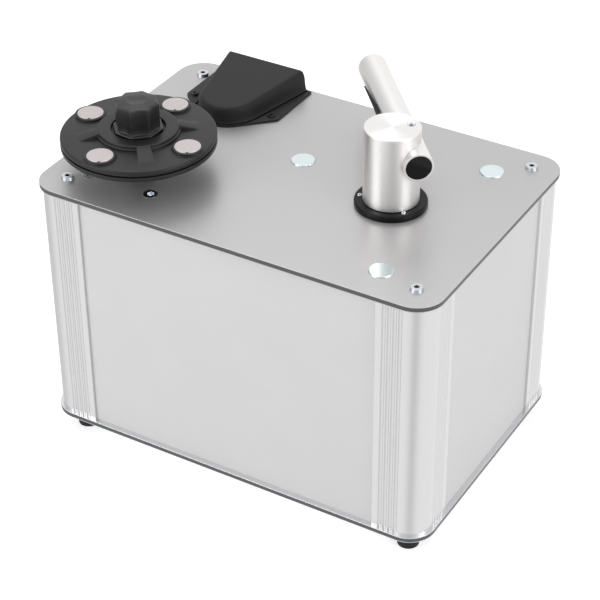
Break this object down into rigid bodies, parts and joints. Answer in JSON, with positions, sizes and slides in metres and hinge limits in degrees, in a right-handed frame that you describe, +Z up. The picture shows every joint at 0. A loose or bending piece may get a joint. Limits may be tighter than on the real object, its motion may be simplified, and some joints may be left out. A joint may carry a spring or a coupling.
{
  "type": "record cleaning machine",
  "caption": "Vacuum record cleaning machine with a fluted-post metal case, a clamped platter, a hollow column with a swinging suction arm and a rear air cover",
  "frame": {"origin": "centre of the footprint on the ground, under the feet", "axes": "+X along the long side towards the arm column, +Y to the rear where the air leaves, +Z up"},
  "size_m": [0.33, 0.224, 0.2885],
  "materials": {
    "plate_grey": "satin composite plate with bright skins on a dark core",
    "post_aluminium": "satin anodised extrusion",
    "panel_grey": "matt light grey",
    "turned_aluminium": "finely turned, half bright",
    "bright_zinc": "bright zinc",
    "polished_disc": "polished",
    "black_plastic": "satin charcoal moulding",
    "gloss_black": "gloss black",
    "black_steel": "blackened steel",
    "black_rubber": "matt rubber",
    "grey_velvet": "short grey pile",
    "white_plastic": "natural white moulding",
    "grey_plastic": "dark grey moulding",
    "bronze": "turned"
  },
  "bodies": {
    "case": {"bottom_plate": "plate_grey", "top_plate": "plate_grey", "post_front_left": "post_aluminium", "post_front_right": "post_aluminium", "post_rear_left": "post_aluminium", "post_rear_right": "post_aluminium", "front_panel": "panel_grey", "rear_panel": "panel_grey", "left_panel": "panel_grey", "right_panel": "panel_grey", "top_screws": "bright_zinc", "foot_screws": "bright_zinc", "feet": "black_rubber", "foot_washers": "bright_zinc", "column_collar": "black_plastic", "collar_screws": "bright_zinc", "suction_pipe": "turned_aluminium", "lift_spring": "bright_zinc", "spindle_bush": "bronze", "gearbox": "grey_plastic", "gearbox_lid": "grey_plastic", "gearbox_screws": "bright_zinc", "platter_motor": "bright_zinc", "air_cover": "black_plastic", "air_cover_screws": "black_steel", "tank": "white_plastic", "tank_lid": "grey_plastic", "tank_bolts": "bright_zinc", "tank_nuts": "bright_zinc", "vacuum_hose": "black_rubber", "exhaust_hose": "black_rubber", "drain_hose": "black_rubber", "drain_socket": "black_plastic", "fan_housing": "grey_plastic", "vacuum_motor": "bright_zinc", "mains_inlet": "black_plastic", "switch_frames": "black_plastic"},
    "platter_body": {"platter": "black_plastic", "platter_mat": "black_rubber", "spindle": "turned_aluminium", "spindle_clip": "bright_zinc", "drive_gear": "white_plastic"},
    "pinion_body": {"motor_rotor": "bright_zinc", "motor_pinion": "bronze"},
    "clamp": {"clamp_disc": "black_plastic", "clamp_inserts": "polished_disc", "clamp_seal": "black_rubber"},
    "knob": {"clamp_knob": "black_plastic", "knob_nut": "bronze"},
    "lift": {"column_bush": "white_plastic"},
    "arm": {"arm_column": "turned_aluminium", "arm_tube": "turned_aluminium", "arm_cap": "black_plastic", "arm_tip_plug": "turned_aluminium", "lip_pad": "black_rubber", "velvet_strips": "grey_velvet", "arm_set_screw": "bright_zinc"},
    "fan_wheel": {"impeller": "turned_aluminium"},
    "vacuum_switch": {"vacuum_rocker": "gloss_black"},
    "direction_switch": {"direction_rocker": "gloss_black"}
  },
  "joints": [
    {"name": "platter_spin", "type": "hinge", "parent": "case", "child": "platter_body", "pos_m": [-0.1065, -0.0515, 0.2255], "axis": [0, 0, 1], "continuous": true},
    {"name": "motor_spin", "type": "hinge", "parent": "case", "child": "pinion_body", "pos_m": [-0.08235, -0.0515, 0.2055], "axis": [0, 0, 1], "continuous": true},
    {"name": "clamp_lift", "type": "slide", "parent": "platter_body", "child": "clamp", "axis": [0, 0, 1], "range_m": [0, 0.04]},
    {"name": "knob_turn", "type": "hinge", "parent": "clamp", "child": "knob", "pos_m": [-0.1065, -0.0515, 0.2575], "axis": [0, 0, 1], "continuous": true},
    {"name": "arm_lift", "type": "slide", "parent": "case", "child": "lift", "axis": [0, 0, 1], "range_m": [-0.002, 0], "stiffness_N_per_m": 1500, "springref_m": 0.004, "deforming": ["lift_spring"]},
    {"name": "arm_swing", "type": "hinge", "parent": "lift", "child": "arm", "pos_m": [0.077, -0.0033, 0.2555], "axis": [0, 0, 1], "range_deg": [-10, 70]},
    {"name": "impeller_spin", "type": "hinge", "parent": "case", "child": "fan_wheel", "pos_m": [-0.062, 0.01, 0.0855], "axis": [0, 0, 1], "continuous": true},
    {"name": "vacuum_rock", "type": "hinge", "parent": "case", "child": "vacuum_switch", "pos_m": [-0.1567, -0.058, 0.1495], "axis": [0, 1, 0], "range_deg": [0, 16]},
    {"name": "direction_rock", "type": "hinge", "parent": "case", "child": "direction_switch", "pos_m": [-0.1567, -0.03, 0.1495], "axis": [0, 1, 0], "range_deg": [-8, 8]}
  ],
  "couplings": [
    {"joint": "motor_spin", "follows": "platter_spin", "ratio": -3}
  ]
}
